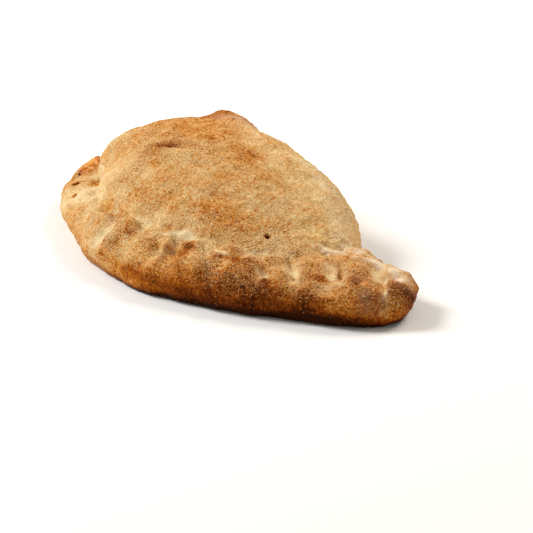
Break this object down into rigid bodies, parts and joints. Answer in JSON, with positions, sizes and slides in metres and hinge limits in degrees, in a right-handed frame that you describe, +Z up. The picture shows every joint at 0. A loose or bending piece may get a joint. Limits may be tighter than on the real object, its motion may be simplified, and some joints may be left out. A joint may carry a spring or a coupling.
{
  "type": "panzerotto",
  "caption": "Baked half moon of folded pizza dough with a filled domed pocket, a pinched rim and a pointed end.",
  "frame": {"origin": "on the flat base, below the middle of the outer box", "axes": "+X towards the pointed end, +Y towards the folded back edge with the pinched edge at -Y, +Z up"},
  "size_m": [0.3096, 0.1576, 0.0658],
  "materials": {
    "crust": "baked bread crust, golden brown and matt, toasted darker along the pinched edge, dusted with coarse meal"
  },
  "bodies": {
    "root": {"dough": "crust"}
  },
  "joints": []
}
